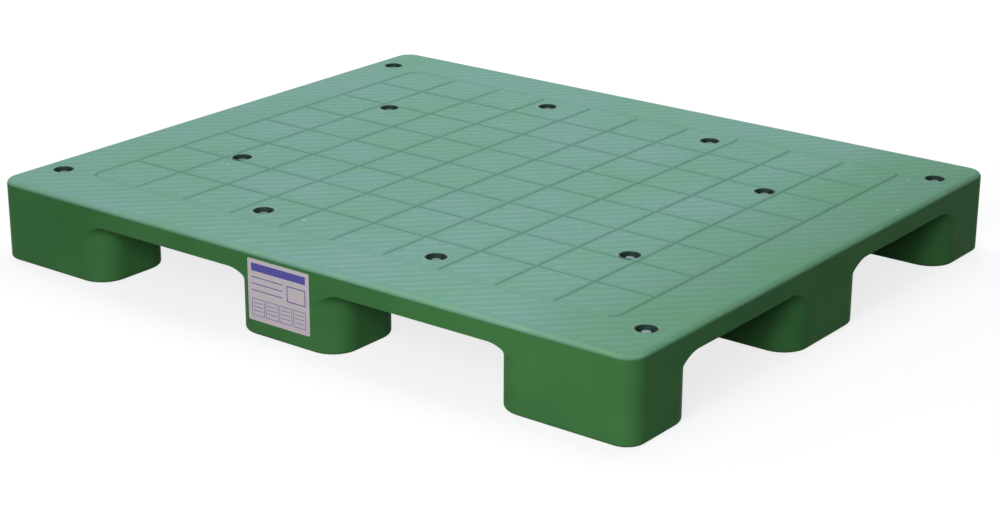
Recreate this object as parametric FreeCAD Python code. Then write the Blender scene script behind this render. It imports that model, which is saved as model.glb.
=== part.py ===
import FreeCAD, Part
import math
import os

# Nine-legged plastic pallet, millimetres.
# Frame: origin on the floor under the middle of the pallet, X along the long sides, +Z up.
# A ribbed deck cover closes an open-topped tray that carries the nine hollow legs.
# Twelve flange bolts in recessed cups pull the two mouldings together over six steel tubes.

# Overall size
length = 1200.0
width = 1000.0
height = 130.0
corner_r = 30.0                # plan radius of the four pallet corners

# Base tray
deck_edge = 35.0               # depth of the deck at its edge, top to underside
wall = 6.0                     # wall and floor of the base moulding
end_leg_length = 228.0         # X size of the legs at the two ends
mid_leg_length = 200.0         # X size of the legs in the middle
side_leg_width = 146.0         # Y size of the legs along the two long sides
mid_leg_width = 200.0          # Y size of the legs in the middle row
leg_corner_r = 43.0            # plan radius of every leg corner that faces a fork tunnel
root_r = 22.0                  # blend from the leg walls into the underside of the deck
foot_r = 5.0                   # rounding around the foot of each leg
hollow_foot_r = 3.0            # the same rounding inside the leg
leg_rib = 4.0                  # crossed ribs inside each leg

# Deck cover
cover_edge = 9.0               # height of the cover at its edge
top_edge_r = 8.0               # rounding along the top edge
plate = 5.0                    # thickness of the deck plate
cover_rib = 4.0                # thickness of the ribs under the plate
lip = 3.0                      # thickness of the lip that drops inside the tray wall
lip_depth = 8.0
lip_clearance = 0.2
groove_pitch = 100.0           # spacing of the grooves in the deck, and of the ribs below them
groove_margin = 100.0          # least plain border outside the outermost grooves
groove_width = 6.0
groove_depth = 1.2
groove_corner_r = 20.0         # plan radius at the corners of the outermost groove

# Fasteners: flange bolt, recessed cup and threaded insert
bolt_d = 8.0
bolt_length = 16.0
bolt_flange_d = 17.9
bolt_flange = 1.2
bolt_across_flats = 13.0
bolt_head = 8.0
bolt_crown_angle = math.radians(30)   # chamfer on the corners of the hexagon
bolt_flange_angle = math.radians(25)  # slope of the flange's upper side
bolt_hole_clearance = 0.5      # radial, where the bolt passes through cup and cover
cup_d = 33.5
cup_wall = 1.5
cup_floor = 2.0
cup_depth = 12.5               # deck surface to the face that the bolt head bears on
cup_sink = 0.2                 # how far the cup's rim lies below the deck surface
cup_clearance = 0.1
cover_boss_wall = 4.0
cover_boss_floor = 4.0
base_boss_d = 24.0
base_boss_clearance = 1.0      # between the base bosses and the cover's ribs
insert_d = 12.0
insert_length = 10.0
insert_clearance = 0.05
insert_hole_spare = 0.3        # extra depth below the insert
thread_clearance = 0.05

# Fastener positions, each repeated in all four quarters of the deck
corner_bolt_from_end = 45.0
corner_bolt_from_side = 94.0
tunnel_bolt_past_leg = 6.0     # outer tunnel bolts, beyond the inner face of the outer legs
side_bolt_from_mid_leg = 66.5  # X, from the face of the middle legs
end_bolt_from_mid_leg = 84.0   # Y, from the face of the middle row

# Steel reinforcing tubes, lying along X on the floor of the tray
tube_size = 20.0
tube_wall = 1.5
tube_corner_r = 2.0
tube_clearance = 0.3           # around the tube where it passes through the ribs
tube_from_boss = 11.5          # gap between a tube and the cover boss beside it
tube_end_gap = 0.5             # between an end plug and the cover's lip
plug_flange = 2.0
plug_length = 12.0
plug_clearance = 0.1

# Label on the front middle leg
label_width = 117.5
label_height = 94.0
label_thickness = 0.25
label_bottom = 23.0
label_centre_x = -8.75

# Derived positions
half_x = length / 2
half_y = width / 2
under = height - deck_edge                 # underside of the deck, which is the fork entry height
tray_floor = under + wall
seam = height - cover_edge                 # where the cover sits on the tray wall
plate_under = height - plate
outer_leg_x = half_x - end_leg_length      # inner face of the end legs
mid_leg_x = mid_leg_length / 2
outer_leg_y = half_y - side_leg_width      # inner face of the side legs
mid_leg_y = mid_leg_width / 2
leg_spans_x = [(-half_x, -outer_leg_x), (-mid_leg_x, mid_leg_x), (outer_leg_x, half_x)]
leg_spans_y = [(-half_y, -outer_leg_y), (-mid_leg_y, mid_leg_y), (outer_leg_y, half_y)]

lip_outer = wall + lip_clearance           # insets from the outline of the pallet
lip_inner = lip_outer + lip

bearing = height - cup_depth               # face under the bolt head
cup_bottom = bearing - cup_floor
boss_joint = cup_bottom - cover_boss_floor  # where cover boss and base boss meet
cup_pocket_r = cup_d / 2 + cup_clearance
cover_boss_r = cup_pocket_r + cover_boss_wall
bolt_hole_r = bolt_d / 2 + bolt_hole_clearance
insert_hole_depth = insert_length + insert_hole_spare

corner_bolt = (half_x - corner_bolt_from_end, half_y - corner_bolt_from_side)
side_bolt = (mid_leg_x + side_bolt_from_mid_leg, outer_leg_y + tunnel_bolt_past_leg)
end_bolt = (outer_leg_x + tunnel_bolt_past_leg, mid_leg_y + end_bolt_from_mid_leg)
bolt_rings = {"corner": corner_bolt, "side": side_bolt, "end": end_bolt}
quarters = {"front_left": (-1, -1), "front_right": (1, -1), "back_left": (-1, 1), "back_right": (1, 1)}

boss_to_tube = cover_boss_r + tube_from_boss + tube_size / 2
tube_rows = {
    "outer": corner_bolt[1] + boss_to_tube,
    "tunnel": end_bolt[1] + boss_to_tube,
    "centre": mid_leg_y / 2,
}
tube_half = half_x - lip_inner - tube_end_gap - plug_flange

JOIN = 1.0                                 # length by which a cut runs past the face it opens


def rounded_prism(x0, x1, y0, y1, radii, z0, z1):
    """Upright prism on a rectangle whose corners are rounded.

    The radii run anticlockwise from the corner at low x and low y.
    """
    r_a, r_b, r_c, r_d = radii
    corners = [
        (x0 + r_a, y0 + r_a, r_a, 180),
        (x1 - r_b, y0 + r_b, r_b, 270),
        (x1 - r_c, y1 - r_c, r_c, 0),
        (x0 + r_d, y1 - r_d, r_d, 90),
    ]
    axis = FreeCAD.Vector(0, 0, 1)
    arcs = []
    for x, y, radius, start in corners:
        arcs.append(Part.makeCircle(radius, FreeCAD.Vector(x, y, z0), axis, start, start + 90))
    edges = []
    for arc, following in zip(arcs, arcs[1:] + arcs[:1]):
        edges.append(arc)
        edges.append(Part.makeLine(arc.lastVertex().Point, following.firstVertex().Point))
    face = Part.Face(Part.Wire(Part.__sortEdges__(edges)))
    return face.extrude(FreeCAD.Vector(0, 0, z1 - z0))


def outline(inset, z0, z1):
    """Plan of the whole pallet, drawn in by the inset."""
    radius = corner_r - inset
    return rounded_prism(-half_x + inset, half_x - inset, -half_y + inset, half_y - inset, [radius] * 4, z0, z1)


def box(x0, x1, y0, y1, z0, z1):
    return Part.makeBox(x1 - x0, y1 - y0, z1 - z0, FreeCAD.Vector(x0, y0, z0))


def cylinder(radius, x, y, z0, z1):
    return Part.makeCylinder(radius, z1 - z0, FreeCAD.Vector(x, y, z0))


def level_edges(shape, z, x0, x1, y0, y1):
    """Edges that lie flat at height z within a plan rectangle."""
    tiny = 0.01
    found = []
    for edge in shape.Edges:
        b = edge.BoundBox
        flat = abs(b.ZMin - z) < tiny and abs(b.ZMax - z) < tiny
        within = b.XMin > x0 - tiny and b.XMax < x1 + tiny and b.YMin > y0 - tiny and b.YMax < y1 + tiny
        if flat and within:
            found.append(edge)
    return found


def leg_radii(span_x, span_y, inset):
    """Corner radii of a leg: the pallet's own radius where the leg is a corner of the pallet."""
    radii = []
    for x, y in ((span_x[0], span_y[0]), (span_x[1], span_y[0]), (span_x[1], span_y[1]), (span_x[0], span_y[1])):
        on_corner = abs(x) == half_x and abs(y) == half_y
        radii.append((corner_r if on_corner else leg_corner_r) - inset)
    return radii


def leg_form(span_x, span_y, inset, foot):
    """One leg blended all round into the deck; with the wall as its inset, the hollow inside it."""
    x0, x1 = span_x[0] + inset, span_x[1] - inset
    y0, y1 = span_y[0] + inset, span_y[1] - inset
    ceiling = under + inset
    blend = root_r + inset
    leg = rounded_prism(x0, x1, y0, y1, leg_radii(span_x, span_y, inset), inset, ceiling + JOIN)
    leg = leg.makeFillet(foot, level_edges(leg, inset, x0, x1, y0, y1))
    reach = blend + 2 * JOIN
    deck = box(x0 - reach, x1 + reach, y0 - reach, y1 + reach, ceiling, ceiling + JOIN)
    form = leg.fuse(deck).removeSplitter()
    form = form.makeFillet(blend, level_edges(form, ceiling, x0, x1, y0, y1))
    return form.common(outline(inset, 0, height))


def all_legs():
    return [(span_x, span_y) for span_x in leg_spans_x for span_y in leg_spans_y]


def bolt_places():
    """Name and plan position of every fastener."""
    places = []
    for ring, (x, y) in bolt_rings.items():
        for quarter, (sign_x, sign_y) in quarters.items():
            places.append((ring + "_" + quarter, sign_x * x, sign_y * y))
    return places


def tube_places():
    """Name and Y position of every reinforcing tube."""
    places = []
    for row, y in tube_rows.items():
        places.append((row + "_front", -y))
        places.append((row + "_back", y))
    return places


def leg_ribs(span_x, span_y, hollow):
    """Two crossed ribs in a leg, through its fastener boss where it has one."""
    x = sum(span_x) / 2
    y = sum(span_y) / 2
    if x and y:
        x = math.copysign(corner_bolt[0], x)
        y = math.copysign(corner_bolt[1], y)
    along_x = box(span_x[0], span_x[1], y - leg_rib / 2, y + leg_rib / 2, 0, under)
    along_y = box(x - leg_rib / 2, x + leg_rib / 2, span_y[0], span_y[1], 0, under)
    return along_x.fuse(along_y).common(hollow)


def base_moulding():
    """Open-topped tray with nine hollow legs and twelve bosses for the threaded inserts."""
    hollows = [leg_form(x, y, wall, hollow_foot_r) for x, y in all_legs()]
    outside = outline(0, under, seam).multiFuse([leg_form(x, y, 0, foot_r) for x, y in all_legs()])
    inside = outline(wall, tray_floor, seam + JOIN).multiFuse(hollows)
    ribs = [leg_ribs(x, y, hollow) for (x, y), hollow in zip(all_legs(), hollows)]
    bosses = []
    holes = []
    for name, x, y in bolt_places():
        foot = wall / 2 if name.startswith("corner") else under + wall / 2
        bosses.append(cylinder(base_boss_d / 2, x, y, foot, boss_joint))
        holes.append(cylinder(insert_d / 2 + insert_clearance, x, y, boss_joint - insert_hole_depth, height))
    tray = outside.cut(inside).multiFuse(ribs + bosses).cut(holes)
    return tray.removeSplitter()


def groove_lines(half):
    """Positions of the grooves across one half-span of the deck, and of the ribs below them."""
    steps = int((half - groove_margin) / groove_pitch)
    return [groove_pitch * i for i in range(-steps, steps + 1)]


def cover_ribs(lines_x, lines_y):
    """Crossed ribs under the deck plate, standing on the floor of the tray."""
    ribs = []
    for x in lines_x:
        ribs.append(box(x - cover_rib / 2, x + cover_rib / 2, -half_y, half_y, tray_floor, plate_under + JOIN))
    for y in lines_y:
        ribs.append(box(-half_x, half_x, y - cover_rib / 2, y + cover_rib / 2, tray_floor, plate_under + JOIN))
    grid = ribs[0].multiFuse(ribs[1:])
    return grid.common(outline(lip_inner - JOIN, tray_floor, height))


def deck_grooves(lines_x, lines_y):
    """Shallow grooves that mark the deck out in squares, with a rounded frame groove around them."""
    end_x = lines_x[-1]
    end_y = lines_y[-1]
    half_w = groove_width / 2
    low = height - groove_depth
    top = height + JOIN
    outer = rounded_prism(-end_x - half_w, end_x + half_w, -end_y - half_w, end_y + half_w,
                          [groove_corner_r + half_w] * 4, low, top)
    inner = rounded_prism(-end_x + half_w, end_x - half_w, -end_y + half_w, end_y - half_w,
                          [groove_corner_r - half_w] * 4, low, top)
    cuts = [outer.cut(inner)]
    for x in lines_x[1:-1]:
        cuts.append(box(x - half_w, x + half_w, -end_y, end_y, low, top))
    for y in lines_y[1:-1]:
        cuts.append(box(-end_x, end_x, y - half_w, y + half_w, low, top))
    return cuts[0].multiFuse(cuts[1:])


def deck_cover():
    """Deck plate with its rounded edge, locating lip, ribs, bosses, cup pockets and grooves."""
    lines_x = groove_lines(half_x)
    lines_y = groove_lines(half_y)
    blank = outline(0, seam, height)
    blank = blank.makeFillet(top_edge_r, level_edges(blank, height, -half_x, half_x, -half_y, half_y))
    skirt = outline(lip_outer, seam - lip_depth, seam + JOIN)
    shell = blank.fuse(skirt).cut(outline(lip_inner, seam - lip_depth - JOIN, plate_under))
    bosses = []
    pockets = []
    for _, x, y in bolt_places():
        bosses.append(cylinder(cover_boss_r, x, y, boss_joint, plate_under + JOIN))
        pockets.append(cylinder(cup_pocket_r, x, y, cup_bottom, height + JOIN))
        pockets.append(cylinder(bolt_hole_r, x, y, boss_joint - JOIN, height))
        pockets.append(cylinder(base_boss_d / 2 + base_boss_clearance, x, y, tray_floor - JOIN, boss_joint))
    half_tunnel = tube_size / 2 + tube_clearance
    for _, y in tube_places():
        pockets.append(box(-half_x + lip_inner, half_x - lip_inner, y - half_tunnel, y + half_tunnel,
                           tray_floor - JOIN, tray_floor + tube_size + tube_clearance))
    cover = shell.multiFuse([cover_ribs(lines_x, lines_y)] + bosses)
    cover = cover.cut(pockets).cut(deck_grooves(lines_x, lines_y))
    return cover.removeSplitter()


def recess_cup(x, y):
    """Cup that lines a fastener recess and takes the load of the bolt head."""
    rim = height - cup_sink
    cup = cylinder(cup_d / 2, x, y, cup_bottom, rim)
    bore = cylinder(cup_d / 2 - cup_wall, x, y, bearing, height)
    hole = cylinder(bolt_hole_r, x, y, cup_bottom - JOIN, bearing)
    cup = cup.cut([bore, hole])
    rim_edges = level_edges(cup, rim, x - cup_d, x + cup_d, y - cup_d, y + cup_d)
    return cup.makeFillet(cup_wall / 4, rim_edges)


def flange_bolt(x, y):
    """Hexagon flange bolt, head up, bearing on the floor of its cup."""
    flange_r = bolt_flange_d / 2
    flat_r = bolt_across_flats / 2
    corner = flat_r / math.cos(math.radians(30))
    points = []
    for i in range(7):
        turn = math.radians(60 * i)
        points.append(FreeCAD.Vector(x + corner * math.cos(turn), y + corner * math.sin(turn), bearing))
    hexagon = Part.Face(Part.makePolygon(points)).extrude(FreeCAD.Vector(0, 0, bolt_head))
    crown = Part.makeCone(flat_r + bolt_head / math.tan(bolt_crown_angle), flat_r, bolt_head,
                          FreeCAD.Vector(x, y, bearing))
    head = hexagon.common(crown)
    flange = cylinder(flange_r, x, y, bearing, bearing + bolt_flange)
    slope = Part.makeCone(flange_r, flat_r, (flange_r - flat_r) * math.tan(bolt_flange_angle),
                          FreeCAD.Vector(x, y, bearing + bolt_flange))
    shank = cylinder(bolt_d / 2, x, y, bearing - bolt_length, bearing)
    return head.multiFuse([flange, slope, shank]).removeSplitter()


def threaded_insert(x, y):
    """Brass insert, flush with the top of its boss in the base moulding."""
    bottom = boss_joint - insert_length
    body = cylinder(insert_d / 2, x, y, bottom, boss_joint)
    return body.cut(cylinder(bolt_d / 2 + thread_clearance, x, y, bottom - JOIN, boss_joint + JOIN))


def square_bar(x0, x1, y, z_centre, size, radius):
    """Square bar along X with rounded long edges."""
    bar = rounded_prism(-size / 2, size / 2, -size / 2, size / 2, [radius] * 4, 0, x1 - x0)
    bar.rotate(FreeCAD.Vector(0, 0, 0), FreeCAD.Vector(0, 1, 0), 90)
    bar.translate(FreeCAD.Vector(x0, y, z_centre))
    return bar


tube_z = tray_floor + tube_size / 2
tube_bore = tube_size - 2 * tube_wall


def reinforcing_tube(y):
    """Square steel tube that stiffens the deck from end to end."""
    tube = square_bar(-tube_half, tube_half, y, tube_z, tube_size, tube_corner_r)
    bore = square_bar(-tube_half - JOIN, tube_half + JOIN, y, tube_z, tube_bore, tube_corner_r - tube_wall)
    return tube.cut(bore)


def end_plug(y, side):
    """Plug pressed into one end of a tube; side is -1 or 1."""
    stub_size = tube_bore - 2 * plug_clearance
    stub_end = tube_half - plug_length
    flange_end = tube_half + plug_flange
    stub = square_bar(stub_end, tube_half + plug_flange / 2, y, tube_z, stub_size, tube_corner_r - tube_wall)
    plug = stub.fuse(square_bar(tube_half, flange_end, y, tube_z, tube_size, tube_corner_r)).removeSplitter()
    if side < 0:
        plug = plug.mirror(FreeCAD.Vector(0, 0, 0), FreeCAD.Vector(1, 0, 0))
    return plug


def label():
    """Thin label on the flat front of the middle front leg."""
    x0 = label_centre_x - label_width / 2
    return box(x0, x0 + label_width, -half_y - label_thickness, -half_y,
               label_bottom, label_bottom + label_height)


def all_parts():
    parts = {"base_moulding": base_moulding(), "deck_cover": deck_cover(), "label": label()}
    for name, x, y in bolt_places():
        parts["cup_" + name] = recess_cup(x, y)
        parts["bolt_" + name] = flange_bolt(x, y)
        parts["insert_" + name] = threaded_insert(x, y)
    for name, y in tube_places():
        parts["tube_" + name] = reinforcing_tube(y)
        parts["plug_" + name + "_left"] = end_plug(y, -1)
        parts["plug_" + name + "_right"] = end_plug(y, 1)
    return parts


os.makedirs("parts", exist_ok=True)
for node, shape in all_parts().items():
    shape.exportStep("parts/" + node + ".step")
    print(node, len(shape.Solids), "solid", shape.isValid(), round(shape.Volume / 1000, 1), "cm3")
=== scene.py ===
import math

import bmesh
import bpy
from mathutils import Matrix, Vector
from mathutils.geometry import delaunay_2d_cdt


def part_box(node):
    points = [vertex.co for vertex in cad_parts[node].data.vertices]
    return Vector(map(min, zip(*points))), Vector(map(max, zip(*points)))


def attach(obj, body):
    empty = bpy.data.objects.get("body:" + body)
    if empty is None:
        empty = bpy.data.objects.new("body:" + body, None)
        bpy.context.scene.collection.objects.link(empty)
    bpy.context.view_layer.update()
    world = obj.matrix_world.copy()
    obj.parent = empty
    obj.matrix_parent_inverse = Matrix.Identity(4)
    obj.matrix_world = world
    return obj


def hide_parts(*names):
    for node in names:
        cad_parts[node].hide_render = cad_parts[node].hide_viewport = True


# Nine-legged plastic pallet, metres: a two-piece polyethylene moulding, bolted through twelve recessed cups.

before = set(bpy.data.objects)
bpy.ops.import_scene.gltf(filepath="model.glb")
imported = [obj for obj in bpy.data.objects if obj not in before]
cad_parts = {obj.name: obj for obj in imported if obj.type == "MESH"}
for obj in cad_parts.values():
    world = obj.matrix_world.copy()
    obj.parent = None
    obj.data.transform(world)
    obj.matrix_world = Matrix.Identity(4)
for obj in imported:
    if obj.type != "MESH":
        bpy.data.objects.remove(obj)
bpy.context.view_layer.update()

MM = 0.001
_, deck_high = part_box("deck_cover")
_, base_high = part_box("base_moulding")
half_x, half_y = base_high.x, base_high.y
seam = base_high.z                    # where the deck cover sits on the base

# Deck cover
rib_height = 0.7 * MM                 # grip ribs and recess collars rise this far, to the solids' top
deck_top = deck_high.z - rib_height
corner_r = 30 * MM                    # plan radius of the pallet's corners
corner_sides = 16                     # slices in each corner of the outline
top_edge_r = 8 * MM                   # rounding along the top edge
top_edge_sides = 8                    # slices in it
deck_wall = 6 * MM
plate = 5 * MM                        # thickness of the deck
support = 1 * MM                      # flat margin that keeps a rounding from shading the flat beside it
merge = 0.002 * MM                    # points of the plan closer than this are one
deck_sharp = math.radians(50)         # edges that turn more than this stay sharp

# Grooves that divide the deck into square tiles
groove_pitch = 100 * MM
groove_border = 100 * MM              # border outside the outermost groove
groove_corner_r = 20 * MM
groove_corner_sides = 10              # slices in each corner of the outermost groove
groove_depth = 1.2 * MM
groove_floor = 1.2 * MM               # half width of the flat at the bottom
groove_edge = 3.8 * MM                # half width at the deck surface
groove_steps = 3                      # slices in each sloping side
loop_x = half_x - groove_border
loop_y = half_y - groove_border

# Recess holes
hole_spare = 0.1 * MM                 # radial, around a cup
hole_rim_r = 0.8 * MM                 # rounding at the mouth of a hole
hole_rim_sides = 3                    # slices in it
hole_sides = 48
collar_slope = 2 * MM                 # from the collar round a hole down to the deck

# Grip ribs: low rounded bars moulded on the deck at 45 degrees to its sides
rib_pitch = 20.7 * MM
rib_half = 5.5 * MM
rib_sink = 0.3 * MM                   # how far a rib's foot reaches into the deck
rib_tuck = 0.02 * MM                  # how far a rib's long edges lie under the deck surface
rib_slices = 6                        # across the rounded top
rib_taper = 5 * MM                    # length over which a rib's end runs out
rib_end = 0.3                         # width of a rib's tip, as a share of its middle
rib_gap = 3 * MM                      # between a rib and a groove or a recess's collar
rib_border = 11 * MM                  # between a rib and the pallet's edge
rib_shortest = 15 * MM                # shorter runs get no rib
rib_step = 1 * MM                     # distance between the points at which a rib's line is tried
rib_sharp = math.radians(60)


# ---------------------------------------------------------------- shapes

def between(low, high, value):
    """The value, kept from low to high."""
    return max(low, min(high, value))


def smooth(share):
    """A share from 0 to 1, eased at both ends."""
    return share * share * (3 - 2 * share)


def rounded_loop(reach_x, reach_y, radius, sides):
    """Points round a rectangle with rounded corners, anticlockwise, with that many sides to each corner."""
    points = []
    for corner, (sign_x, sign_y) in enumerate([(1, 1), (-1, 1), (-1, -1), (1, -1)]):
        for step in range(sides + 1):
            angle = math.radians(90 * (corner + step / sides))
            x = sign_x * (reach_x - radius) + radius * math.cos(angle)
            y = sign_y * (reach_y - radius) + radius * math.sin(angle)
            points.append((x, y))
    return points


def circle(centre, radius, sides):
    """Points round a circle, anticlockwise."""
    turns = [2 * math.pi * step / sides for step in range(sides)]
    return [(centre[0] + radius * math.cos(a), centre[1] + radius * math.sin(a)) for a in turns]


def mesh_piece(name, mesh, material):
    """A finished piece that rides on the pallet."""
    piece = bpy.data.objects.new(name, mesh)
    bpy.context.scene.collection.objects.link(piece)
    piece.data.materials.append(material)
    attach(piece, "root")
    return piece


cups = [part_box(name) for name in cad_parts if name.startswith("cup_")]
recesses = [((low.x + high.x) / 2, (low.y + high.y) / 2) for low, high in cups]
cup_low, cup_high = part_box("cup_corner_front_left")
hole_r = (cup_high.x - cup_low.x) / 2 + hole_spare
collar_r = hole_r + hole_rim_r + support + collar_slope


def lines_inside(reach):
    """Places of the groove lines inside the outermost groove, along one axis."""
    count = round(2 * reach / groove_pitch)
    return [groove_pitch * (i - count / 2) for i in range(1, count)]


def groove_distance(x, y):
    """Distance from the middle of the nearest groove."""
    out_x = max(abs(x) - (loop_x - groove_corner_r), 0)
    out_y = max(abs(y) - (loop_y - groove_corner_r), 0)
    inner = min(max(abs(x) - loop_x, abs(y) - loop_y) + groove_corner_r, 0)
    from_loop = math.hypot(out_x, out_y) + inner - groove_corner_r
    nearest = abs(from_loop)
    if from_loop < 0:
        nearest = min([nearest] + [abs(x - place) for place in lines_inside(loop_x)])
        nearest = min([nearest] + [abs(y - place) for place in lines_inside(loop_y)])
    return nearest


def deck_height(x, y):
    """Height of the deck surface: level, with soft-edged grooves and a low collar round each recess."""
    groove = between(0, 1, (groove_edge - groove_distance(x, y)) / (groove_edge - groove_floor))
    from_hole = min(math.hypot(x - centre[0], y - centre[1]) for centre in recesses) - hole_r - hole_rim_r
    collar = between(0, 1, 1 - (from_hole - support) / collar_slope)
    return deck_top - groove_depth * smooth(groove) + rib_height * smooth(collar)


def deck_lines():
    """Every line of the deck's top surface in plan, as (points, closed)."""
    slope = groove_edge - groove_floor
    offsets = [groove_floor + slope * i / groove_steps for i in range(groove_steps + 1)]
    offsets.append(groove_edge + support)
    offsets += [-offset for offset in offsets]
    lines = []
    for offset in offsets:
        for place in lines_inside(loop_x):
            lines.append(([(place + offset, -loop_y), (place + offset, loop_y)], False))
        for place in lines_inside(loop_y):
            lines.append(([(-loop_x, place + offset), (loop_x, place + offset)], False))
        loop = rounded_loop(loop_x + offset, loop_y + offset, groove_corner_r + offset, groove_corner_sides)
        lines.append((loop, True))
    for inset in (top_edge_r, top_edge_r + support):
        lines.append((rounded_loop(half_x - inset, half_y - inset, corner_r - inset, corner_sides), True))
    collar_rings = [0, support, support + collar_slope / 2, support + collar_slope,
                    2 * support + collar_slope]
    for centre in recesses:
        for out in collar_rings:
            lines.append((circle(centre, hole_r + hole_rim_r + out, hole_sides), True))
    return lines


def split_plan(lines):
    """Points and triangles of the plane divided along the lines."""
    points = []
    edges = []
    for path, closed in lines:
        first = len(points)
        points += [Vector(point) for point in path]
        edges += [(first + i, first + i + 1) for i in range(len(path) - 1)]
        if closed:
            edges.append((len(points) - 1, first))
    points, _, triangles, *_ = delaunay_2d_cdt(points, edges, [], 0, merge)
    return points, triangles


def draw_out(bm, edges, place):
    """Extrudes an open edge loop once and puts each new vertex where place says."""
    made = bmesh.ops.extrude_edge_only(bm, edges=edges)["geom"]
    for vertex in made:
        if isinstance(vertex, bmesh.types.BMVert):
            vertex.co = place(vertex.co)
    return [edge for edge in made if isinstance(edge, bmesh.types.BMEdge) and edge.is_boundary]


def edge_ring(inset, z):
    """A function that moves a point of the deck's outline to an inset and a height."""
    def place(co):
        core = Vector((between(corner_r - half_x, half_x - corner_r, co.x),
                       between(corner_r - half_y, half_y - corner_r, co.y)))
        away = (co.xy - core).normalized() * (corner_r - inset)
        return Vector((core.x + away.x, core.y + away.y, z))
    return place


def hole_ring(centre, radius, drop=None, z=None):
    """A function that moves a point of a hole's edge to a radius, and down by a drop or to a height."""
    def place(co):
        away = (co.xy - Vector(centre)).normalized() * radius
        height = z if drop is None else co.z - drop
        return Vector((centre[0] + away.x, centre[1] + away.y, height))
    return place


def deck_skin(material):
    """The deck cover: tiles, soft grooves, twelve round holes and a rounded edge down to the base."""
    points, triangles = split_plan(deck_lines())
    bm = bmesh.new()
    verts = [bm.verts.new((point.x, point.y, deck_height(point.x, point.y))) for point in points]
    for triangle in triangles:
        middle = sum((points[i] for i in triangle), Vector((0, 0))) / 3
        if min((middle - Vector(centre)).length for centre in recesses) > hole_r + hole_rim_r:
            bm.faces.new([verts[i] for i in triangle])
    bmesh.ops.delete(bm, geom=[vert for vert in bm.verts if not vert.link_faces], context="VERTS")

    under = deck_top - plate
    edges = [edge for edge in bm.edges if edge.is_boundary]
    open_edges = []
    for centre in recesses:
        rim = [edge for edge in edges if (edge.verts[0].co.xy - Vector(centre)).length < 2 * hole_r]
        edges = [edge for edge in edges if edge not in rim]
        before = 0
        for step in range(1, hole_rim_sides + 1):
            angle = math.radians(90 * step / hole_rim_sides)
            drop = hole_rim_r * (1 - math.cos(angle))
            radius = hole_r + hole_rim_r * (1 - math.sin(angle))
            rim = draw_out(bm, rim, hole_ring(centre, radius, drop=drop - before))
            before = drop
        open_edges += draw_out(bm, rim, hole_ring(centre, hole_r, z=under))
    for step in range(1, top_edge_sides + 1):
        angle = math.radians(90 * step / top_edge_sides)
        z = deck_top - top_edge_r * (1 - math.cos(angle))
        edges = draw_out(bm, edges, edge_ring(top_edge_r * (1 - math.sin(angle)), z))
    for inset, z in ((0, seam), (deck_wall, seam), (deck_wall, under)):
        edges = draw_out(bm, edges, edge_ring(inset, z))
    open_edges += edges
    bmesh.ops.triangle_fill(bm, use_beauty=True, edges=open_edges, normal=(0, 0, -1))
    bmesh.ops.recalc_face_normals(bm, faces=bm.faces)

    # Extruding gives the faces in an order that changes from run to run, so they are sorted
    bm.verts.index_update()
    faces = sorted([vert.index for vert in face.verts] for face in bm.faces)
    mesh = bpy.data.meshes.new("deck_skin")
    mesh.from_pydata([vert.co for vert in bm.verts], [], faces)
    bm.free()
    mesh.shade_smooth()
    mesh.set_sharp_from_angle(angle=deck_sharp)
    skin = mesh_piece("deck_skin", mesh, material)
    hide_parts("deck_cover")


def rib_runs():
    """Start and end of each grip rib: lines at 45 degrees, broken at grooves, recesses and the edge."""
    reach = half_x + half_y
    count = int(reach / math.sqrt(2) / rib_pitch)
    runs = []
    for row in range(-count, count + 1):
        aside = Vector((1, -1)).normalized() * row * rib_pitch
        start = None
        for step in range(int(2 * reach / rib_step)):
            point = aside + Vector((1, 1)).normalized() * (step * rib_step - reach)
            past_core_x = max(abs(point.x) - half_x + corner_r, 0)
            past_core_y = max(abs(point.y) - half_y + corner_r, 0)
            free = math.hypot(past_core_x, past_core_y) < corner_r - rib_border
            free = free and groove_distance(*point) > groove_edge + rib_gap
            free = free and min((point - Vector(centre)).length for centre in recesses) > collar_r + rib_gap
            if free and start is None:
                start = point
            if not free and start is not None:
                if (point - start).length > rib_shortest:
                    runs.append((start, point))
                start = None
    return runs


def grip_ribs(material):
    """Low rounded bars along every run, each with tapered ends and its foot sunk in the deck."""
    along = Vector((1, 1)).normalized()
    across = Vector((1, -1)).normalized()
    section = [(-1, -rib_sink)]
    for step in range(rib_slices + 1):
        side = 2 * step / rib_slices - 1
        section.append((side, rib_height * (0.5 + 0.5 * math.cos(math.pi * side)) - rib_tuck))
    section.append((1, -rib_sink))
    verts = []
    faces = []
    for start, end in rib_runs():
        first = len(verts)
        taper = along * rib_taper
        stations = [(start, True), (start + taper, False), (end - taper, False), (end, True)]
        for place, is_tip in stations:
            for side, height in section:
                point = place + across * side * rib_half * (rib_end if is_tip else 1)
                lift = min(height, -rib_tuck) if is_tip else height
                verts.append((point.x, point.y, deck_top + lift))
        wide = len(section)
        for ring in range(len(stations) - 1):
            for i in range(wide):
                a = first + ring * wide + i
                b = first + ring * wide + (i + 1) % wide
                faces.append((a, b, b + wide, a + wide))
        faces.append(tuple(first + i for i in reversed(range(wide))))
        faces.append(tuple(first + wide * (len(stations) - 1) + i for i in range(wide)))
    mesh = bpy.data.meshes.new("grip_ribs")
    mesh.from_pydata(verts, [], faces)
    mesh.validate()
    mesh.shade_smooth()
    mesh.set_sharp_from_angle(angle=rib_sharp)
    mesh_piece("grip_ribs", mesh, material)


# ---------------------------------------------------------------- materials

def colour(hex_code):
    """An sRGB hex value as linear red, green, blue and alpha."""
    channels = [int(hex_code[i:i + 2], 16) / 255 for i in (1, 3, 5)]
    return [c / 12.92 if c <= 0.04045 else ((c + 0.055) / 1.055) ** 2.4 for c in channels] + [1]


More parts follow.
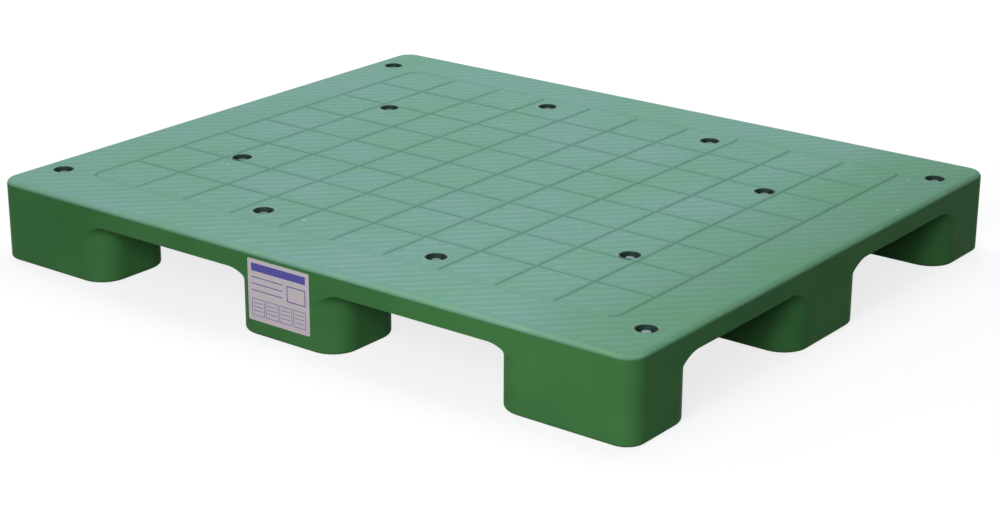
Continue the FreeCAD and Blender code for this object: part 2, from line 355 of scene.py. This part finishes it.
def add(tree, kind, inputs=(), **settings):
    """Adds a node. Each input is (name or number, value), and a value may be another node's output."""
    node = tree.nodes.new("ShaderNode" + kind)
    for name, value in settings.items():
        setattr(node, name, value)
    for name, value in inputs:
        if isinstance(value, bpy.types.NodeSocket):
            tree.links.new(value, node.inputs[name])
        else:
            node.inputs[name].default_value = value
    return node


def new_material(name):
    """An empty material, its node tree and its output node."""
    material = bpy.data.materials.new(name)
    material.use_nodes = True
    tree = material.node_tree
    tree.nodes.clear()
    return material, tree, add(tree, "OutputMaterial")


# Sizes of the patterns in the green plastic
pigment_cloud = 90 * MM
sheen_and_bloom_patch = 160 * MM
scuff = 14 * MM                       # spacing of the scuffs, which are a few millimetres each
edge_rub = 60 * MM
grain = 2 * MM                        # coarser than the real one, so that it shows
bump_height = 0.1 * MM                # in every finish

# How far each layer of wear and of painted light covers what lies under it
sheen_and_bloom_on_flats = 0.75                 # and all of it on the tops of the grip ribs
sheen_and_bloom_at_right = 0.56                 # share of the bloom and painted sheen left at the pallet's right side, where less painted sheen is put
sheen_thins_from = 300 * MM               # X where the bloom and painted sheen start to thin out
# darkest share of grime and painted shade, at the floor of a groove
grime_and_shade_cover = 0.42
scuff_cover = 0.6
# painted highlight and rubs on the rounding of the top edge, at their least and their most
highlight_and_rub_least, highlight_and_rub_most = 0.25, 0.6


def green_polyethylene():
    """High-density polyethylene, injection moulded and green all through: satin walls, and a deck that loads
    have scuffed to a pale, matt bloom, lightened further by painted sheen, with grime and painted shade in
    its grooves and a painted highlight along the rounding of its top edge."""
    material, tree, output = new_material("moulded_green_polyethylene")
    place = add(tree, "TexCoord")
    where = place.outputs["Object"]
    parts = add(tree, "SeparateXYZ", [(0, where)])
    facing = add(tree, "SeparateXYZ", [(0, place.outputs["Normal"])])

    # The pigment isn't quite even
    clouds = add(tree, "TexNoise", [("Vector", where), ("Scale", 1 / pigment_cloud), ("Detail", 3)])
    pigment = add(tree, "Mix", [("Factor", clouds.outputs[0]), ("A", colour("#4E854D")),
                                ("B", colour("#3A713D"))], data_type="RGBA")

    # Scuffed bloom with painted sheen on what faces up, most of all on the tops of the grip ribs
    faces_up = add(tree, "MapRange", [("Value", facing.outputs["Z"]), ("From Min", 0), ("From Max", 0.3)],
                   interpolation_type="SMOOTHSTEP")
    raised = add(tree, "MapRange", [("Value", parts.outputs["Z"]), ("From Min", deck_top),
                                    ("From Max", deck_high.z), ("To Min", sheen_and_bloom_on_flats), ("To Max", 1)])
    patches = add(tree, "TexNoise", [("Vector", where), ("Scale", 1 / sheen_and_bloom_patch), ("Detail", 6),
                                     ("Roughness", 0.68)])
    sheen_and_bloom_tint = add(tree, "MapRange", [("Value", patches.outputs[0]), ("From Min", 0.35),
                                        ("From Max", 0.65)])
    # Two pale blue-greens: the scuffed bloom, lightened as painted sheen on the deck's top
    sheen_and_bloom = add(tree, "Mix", [("Factor", sheen_and_bloom_tint.outputs[0]), ("A", colour("#78A894")),
                              ("B", colour("#82A9A6"))], data_type="RGBA")
    cover = add(tree, "Math", [(0, faces_up.outputs[0]), (1, raised.outputs[0])], operation="MULTIPLY")
    # Painted sheen: the lightening of the deck thins out towards the pallet's right side
    sheen_thinning = add(tree, "MapRange", [("Value", parts.outputs["X"]), ("From Min", sheen_thins_from),
                                     ("From Max", half_x), ("To Min", 1), ("To Max", sheen_and_bloom_at_right)],
                  interpolation_type="SMOOTHSTEP")
    cover = add(tree, "Math", [(0, cover.outputs[0]), (1, sheen_thinning.outputs[0])], operation="MULTIPLY")
    sheened_and_bloomed = add(tree, "Mix", [("Factor", cover.outputs[0]), ("A", pigment.outputs["Result"]),
                                ("B", sheen_and_bloom.outputs["Result"])], data_type="RGBA")

    # Grime and painted shade in the grooves, darkest at their floors. It stops short of the rounded edge and
    # of the outermost two grooves along X.
    in_groove = add(tree, "MapRange", [("Value", parts.outputs["Z"]), ("From Min", deck_top - groove_depth),
                                       ("From Max", deck_top), ("To Min", grime_and_shade_cover), ("To Max", 0)])
    inside_x = add(tree, "Math", [(0, parts.outputs["X"]), (1, 0), (2, loop_x + groove_edge)],
                   operation="COMPARE")
    inside_y = add(tree, "Math", [(0, parts.outputs["Y"]), (1, 0), (2, loop_y - groove_edge)],
                   operation="COMPARE")
    grime_and_shade = in_groove
    for limit in (faces_up, inside_x, inside_y):
        grime_and_shade = add(tree, "Math", [(0, grime_and_shade.outputs[0]), (1, limit.outputs[0])], operation="MULTIPLY")
    # Dark teal for the grime and the painted shade in the grooves
    soiled_and_shaded = add(tree, "Mix", [("Factor", grime_and_shade.outputs[0]), ("A", sheened_and_bloomed.outputs["Result"]),
                               ("B", colour("#34625A"))], data_type="RGBA")

    # Pale scuffs here and there on the deck
    nicks = add(tree, "TexNoise", [("Vector", where), ("Scale", 1 / scuff), ("Detail", 2)])
    rare = add(tree, "MapRange", [("Value", nicks.outputs[0]), ("From Min", 0.73), ("From Max", 0.8),
                                  ("To Max", scuff_cover)])
    worn = add(tree, "Math", [(0, rare.outputs[0]), (1, faces_up.outputs[0])], operation="MULTIPLY")
    scuffed = add(tree, "Mix", [("Factor", worn.outputs[0]), ("A", soiled_and_shaded.outputs["Result"]),
                                ("B", colour("#B9CEC2"))], data_type="RGBA")

    # Painted highlight all along the rounding of the top edge, with pale rubs that make it stronger in
    # patches
    on_edge = add(tree, "ValToRGB", [("Fac", facing.outputs["Z"])])
    band = on_edge.color_ramp.elements
    band[0].position, band[0].color = 0.15, (0, 0, 0, 1)
    band[1].position, band[1].color = 0.97, (0, 0, 0, 1)
    band.new(0.65).color = (1, 1, 1, 1)
    rubs = add(tree, "TexNoise", [("Vector", where), ("Scale", 1 / edge_rub), ("Detail", 5),
                                  ("Roughness", 0.7)])
    highlight_and_rubs = add(tree, "MapRange", [("Value", rubs.outputs[0]), ("From Min", 0.5), ("From Max", 0.7),
                                    ("To Min", highlight_and_rub_least), ("To Max", highlight_and_rub_most)])
    edge_highlight_and_rub = add(tree, "Math", [(0, on_edge.outputs[0]), (1, highlight_and_rubs.outputs[0])], operation="MULTIPLY")
    # A pale green for the painted highlight and the rubs on the edge
    surface = add(tree, "Mix", [("Factor", edge_highlight_and_rub.outputs[0]), ("A", scuffed.outputs["Result"]),
                                ("B", colour("#93CF93"))], data_type="RGBA")

    # Moulded grain, and a surface that is more matt where the scuffed bloom and painted sheen lie
    grains = add(tree, "TexNoise", [("Vector", where), ("Scale", 1 / grain), ("Detail", 2)])
    bump = add(tree, "Bump", [("Height", grains.outputs[0]), ("Strength", 0.15), ("Distance", bump_height)])
    rough = add(tree, "MapRange", [("Value", cover.outputs[0]), ("To Min", 0.5), ("To Max", 0.62)])
    shader = add(tree, "BsdfPrincipled", [("Base Color", surface.outputs["Result"]), ("IOR", 1.5),
                                          ("Specular IOR Level", 0.03), ("Roughness", rough.outputs[0]),
                                          ("Normal", bump.outputs[0])])
    tree.links.new(shader.outputs[0], output.inputs[0])
    return material


def flecked(name, dark, light, fleck, **shader_values):
    """A finish whose colour wanders between two shades over patches of a given size. Further values go to the
    shader, with underscores for the spaces in its sockets' names."""
    material, tree, output = new_material(name)
    place = add(tree, "TexCoord")
    patches = add(tree, "TexNoise", [("Vector", place.outputs["Object"]), ("Scale", 1 / fleck),
                                     ("Detail", 3)])
    shade = add(tree, "Mix", [("Factor", patches.outputs[0]), ("A", colour(dark)), ("B", colour(light))],
                data_type="RGBA")
    bump = add(tree, "Bump", [("Height", patches.outputs[0]), ("Strength", 0.1), ("Distance", bump_height)])
    values = [(key.replace("_", " "), value) for key, value in shader_values.items()]
    shader = add(tree, "BsdfPrincipled", [("Base Color", shade.outputs["Result"]),
                                          ("Normal", bump.outputs[0])] + values)
    tree.links.new(shader.outputs[0], output.inputs[0])
    return material


# ---------------------------------------------------------------- label

label_low, label_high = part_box("label")
label_corner_r = 2.5 * MM
label_corner_sides = 6                # slices in each corner
ink_proud = 0.03 * MM                 # how far the print stands off the film


def ruled_box(left, bottom, width, height, line):
    """A box drawn with four bars that meet without overlapping."""
    bars = [(left, bottom, width, line), (left, bottom + height - line, width, line)]
    return bars + [(x, bottom + line, line, height - 2 * line) for x in (left, left + width - line)]


def label_sheet(paper, ink):
    """A blank goods label on the front middle leg: a header band, ruled lines, an empty box and four small
    boxes with lines."""
    centre_x = (label_low.x + label_high.x) / 2
    centre_z = (label_low.z + label_high.z) / 2
    reach_x = (label_high.x - label_low.x) / 2
    reach_z = (label_high.z - label_low.z) / 2
    loop = rounded_loop(reach_x, reach_z, label_corner_r, label_corner_sides)
    sides = len(loop)
    front = label_low.y + ink_proud
    verts = [(centre_x + x, label_high.y, centre_z + z) for x, z in loop]
    verts += [(centre_x + x, front, centre_z + z) for x, z in loop]
    faces = [tuple(range(sides)), tuple(reversed(range(sides, 2 * sides)))]
    faces += [(i, i + sides, (i + 1) % sides + sides, (i + 1) % sides) for i in range(sides)]
    mesh = bpy.data.meshes.new("label_sheet")
    mesh.from_pydata(verts, [], faces)
    mesh.validate()
    sheet = mesh_piece("label_sheet", mesh, paper)
    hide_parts("label")

    # Printed bars as (left, bottom, width, height) in mm, measured from the label's lower left corner
    margin = 7
    thin_line = 0.9
    bars = [(margin, 76, 103.5, 12)]
    bars += [(margin, bottom, 60, 1.4) for bottom in (66, 56, 46)]
    bars += ruled_box(75, 43, 35.5, 24.6, 1.6)
    for left in (margin, 33.5, 60, 86.5):
        bars += ruled_box(left, 8, 24, 26, thin_line)
        bars += [(left + 3.5, bottom, 17, thin_line) for bottom in (15, 21, 27)]
    verts = []
    faces = []
    for left, bottom, width, height in bars:
        first = len(verts)
        for y in (front, label_low.y):
            for z in (bottom, bottom + height):
                for x in (left, left + width):
                    verts.append((label_low.x + x * MM, y, label_low.z + z * MM))
        for face in ((0, 2, 3, 1), (4, 5, 7, 6), (0, 1, 5, 4), (2, 6, 7, 3), (0, 4, 6, 2), (1, 3, 7, 5)):
            faces.append(tuple(first + i for i in face))
    mesh = bpy.data.meshes.new("label_print")
    mesh.from_pydata(verts, [], faces)
    mesh_piece("label_print", mesh, ink)


# ---------------------------------------------------------------- pallet

green = green_polyethylene()
finishes = {
    "base_": green,
    # Moulded nylon, black with a dark green-teal tint, for the recessed cups
    "cup_": flecked("moulded_black_nylon", "#16332C", "#22443B", fleck=3 * MM, Roughness=0.5, IOR=1.53),
    # Zinc-plated steel, weathered to a dull blue-grey
    "bolt_": flecked("zinc_plated_steel", "#4C5E60", "#647779", fleck=4 * MM, Metallic=1.0, Roughness=0.45),
    # Turned brass
    "insert_": flecked("turned_brass", "#B08D4A", "#BF9C58", fleck=2 * MM, Metallic=1.0, Roughness=0.3),
    # Hot-dip galvanised steel, with its spangle
    "tube_": flecked("galvanised_steel", "#7F8587", "#A1A6A8", fleck=12 * MM, Metallic=1.0, Roughness=0.45),
    # Moulded polyethylene, black, for the tube plugs
    "plug_": flecked("moulded_black_polyethylene", "#141414", "#1E1E1E", fleck=3 * MM, Roughness=0.5,
                     IOR=1.52),
}
for name, cad_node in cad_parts.items():
    for prefix, finish in finishes.items():
        if name.startswith(prefix):
            cad_node.data.materials.clear()
            cad_node.data.materials.append(finish)

deck_skin(green)
grip_ribs(green)
label_sheet(
    # Self-adhesive polypropylene film, matt white
    flecked("matt_white_label_film", "#CDC2C6", "#D7CCCF", fleck=9 * MM, Roughness=0.6, IOR=1.49),
    # Screen ink
    flecked("blue_screen_ink", "#453F94", "#524CA3", fleck=5 * MM, Roughness=0.5, IOR=1.5),
)


# ---------------------------------------------------------------- studio

camera_place = (2.0373, -2.6635, 1.1984)
camera_turn = 37.338                  # degrees about Z, from looking along +Y
camera_down = 19.774                  # degrees below the horizon
camera_roll = 0.264                   # degrees
camera_lens = 80.24                   # focal length in mm, for a sensor 36 mm wide

floor_reach = 30                      # half the floor's side
floor_drop = 0.2 * MM                 # below the feet, so that the two don't flicker
floor_glow = 0.79                     # share of white that the floor gives off near the pallet
glow_near, glow_full = 0.9, 1.8       # from the pallet's middle: where that starts to rise, and where it is 1


def camera():
    """A long lens, a little above the deck and off the front right corner."""
    data = bpy.data.cameras.new("camera")
    data.sensor_width = 36
    data.lens = camera_lens
    seen_from = bpy.data.objects.new("camera", data)
    bpy.context.scene.collection.objects.link(seen_from)
    turn, tilt, roll = (math.radians(a) for a in (camera_turn, 90 - camera_down, camera_roll))
    place = Matrix.Translation(camera_place)
    seen_from.matrix_world = (place @ Matrix.Rotation(turn, 4, "Z") @ Matrix.Rotation(tilt, 4, "X")
                              @ Matrix.Rotation(roll, 4, "Z"))
    bpy.context.scene.camera = seen_from


def softbox(name, direction, distance, size, level):
    """A square area lamp aimed at the pallet. At level 1 it lights a surface that faces it to its own
    colour."""
    data = bpy.data.lights.new(name, "AREA")
    data.shape = "SQUARE"
    data.size = size
    data.energy = level * (math.pi * distance) ** 2
    lamp = bpy.data.objects.new(name, data)
    bpy.context.scene.collection.objects.link(lamp)
    away = Vector(direction).normalized()
    lamp.location = away * distance
    lamp.rotation_euler = away.to_track_quat("Z", "Y").to_euler()


def seen_directly(tree):
    """1 for rays that show the background: the camera's, and those by way of gloss and glass."""
    path = add(tree, "LightPath")
    gloss = add(tree, "Math", [(0, path.outputs["Is Camera Ray"]), (1, path.outputs["Is Glossy Ray"])],
                operation="MAXIMUM")
    glass = add(tree, "Math", [(0, gloss.outputs[0]), (1, path.outputs["Is Transmission Ray"])],
                operation="MAXIMUM")
    return glass.outputs[0]


def studio_floor():
    """A white floor that keeps the pallet's shadow, is plain white further off and throws little light back
    up."""
    mesh = bpy.data.meshes.new("studio_floor")
    corners = [(floor_reach * x, floor_reach * y, 0) for x, y in ((-1, -1), (1, -1), (1, 1), (-1, 1))]
    mesh.from_pydata(corners, [], [(0, 1, 2, 3)])
    floor = bpy.data.objects.new("studio_floor", mesh)
    bpy.context.scene.collection.objects.link(floor)
    floor.location.z = -floor_drop
    material, tree, output = new_material("painted_white_floor")
    place = add(tree, "TexCoord")
    from_middle = add(tree, "VectorMath", [(0, place.outputs["Object"])], operation="LENGTH")
    fade = add(tree, "MapRange", [("Value", from_middle.outputs["Value"]), ("From Min", glow_near),
                                  ("From Max", glow_full), ("To Min", floor_glow), ("To Max", 1)],
               interpolation_type="SMOOTHSTEP")
    lit = add(tree, "BsdfDiffuse", [("Color", colour("#858585"))])
    glow = add(tree, "Emission", [("Color", (1, 1, 1, 1)), ("Strength", fade.outputs[0])])
    shown = add(tree, "AddShader", [(0, lit.outputs[0]), (1, glow.outputs[0])])
    unseen = add(tree, "BsdfDiffuse", [("Color", colour("#383838"))])
    mix = add(tree, "MixShader", [(0, seen_directly(tree)), (1, unseen.outputs[0]), (2, shown.outputs[0])])
    tree.links.new(mix.outputs[0], output.inputs[0])
    mesh.materials.append(material)


def studio_air():
    """White where it is seen, and a soft cool ambient light on the pallet."""
    world = bpy.data.worlds.new("studio_air")
    world.use_nodes = True
    bpy.context.scene.world = world
    tree = world.node_tree
    tree.nodes.clear()
    ambient = add(tree, "Background", [("Color", colour("#EEF4FF")), ("Strength", 0.25)])
    white = add(tree, "Background", [("Color", (1, 1, 1, 1)), ("Strength", 1)])
    mix = add(tree, "MixShader", [(0, seen_directly(tree)), (1, ambient.outputs[0]), (2, white.outputs[0])])
    output = add(tree, "OutputWorld")
    tree.links.new(mix.outputs[0], output.inputs[0])


camera()
softbox("front_softbox", direction=(0.9, -2.2, 1.1), distance=2.75, size=1.2, level=0.51)
softbox("overhead_softbox", direction=(0, 0.3, 1), distance=4, size=2.5, level=0.32)
softbox("left_softbox", direction=(-0.85, 0.1, 0.5), distance=6, size=2.5, level=0.3)
softbox("back_softbox", direction=(-0.6, 1.3, 1.5), distance=3.2, size=1.8, level=0.22)
studio_floor()
studio_air()
bpy.context.scene.view_settings.view_transform = "Standard"
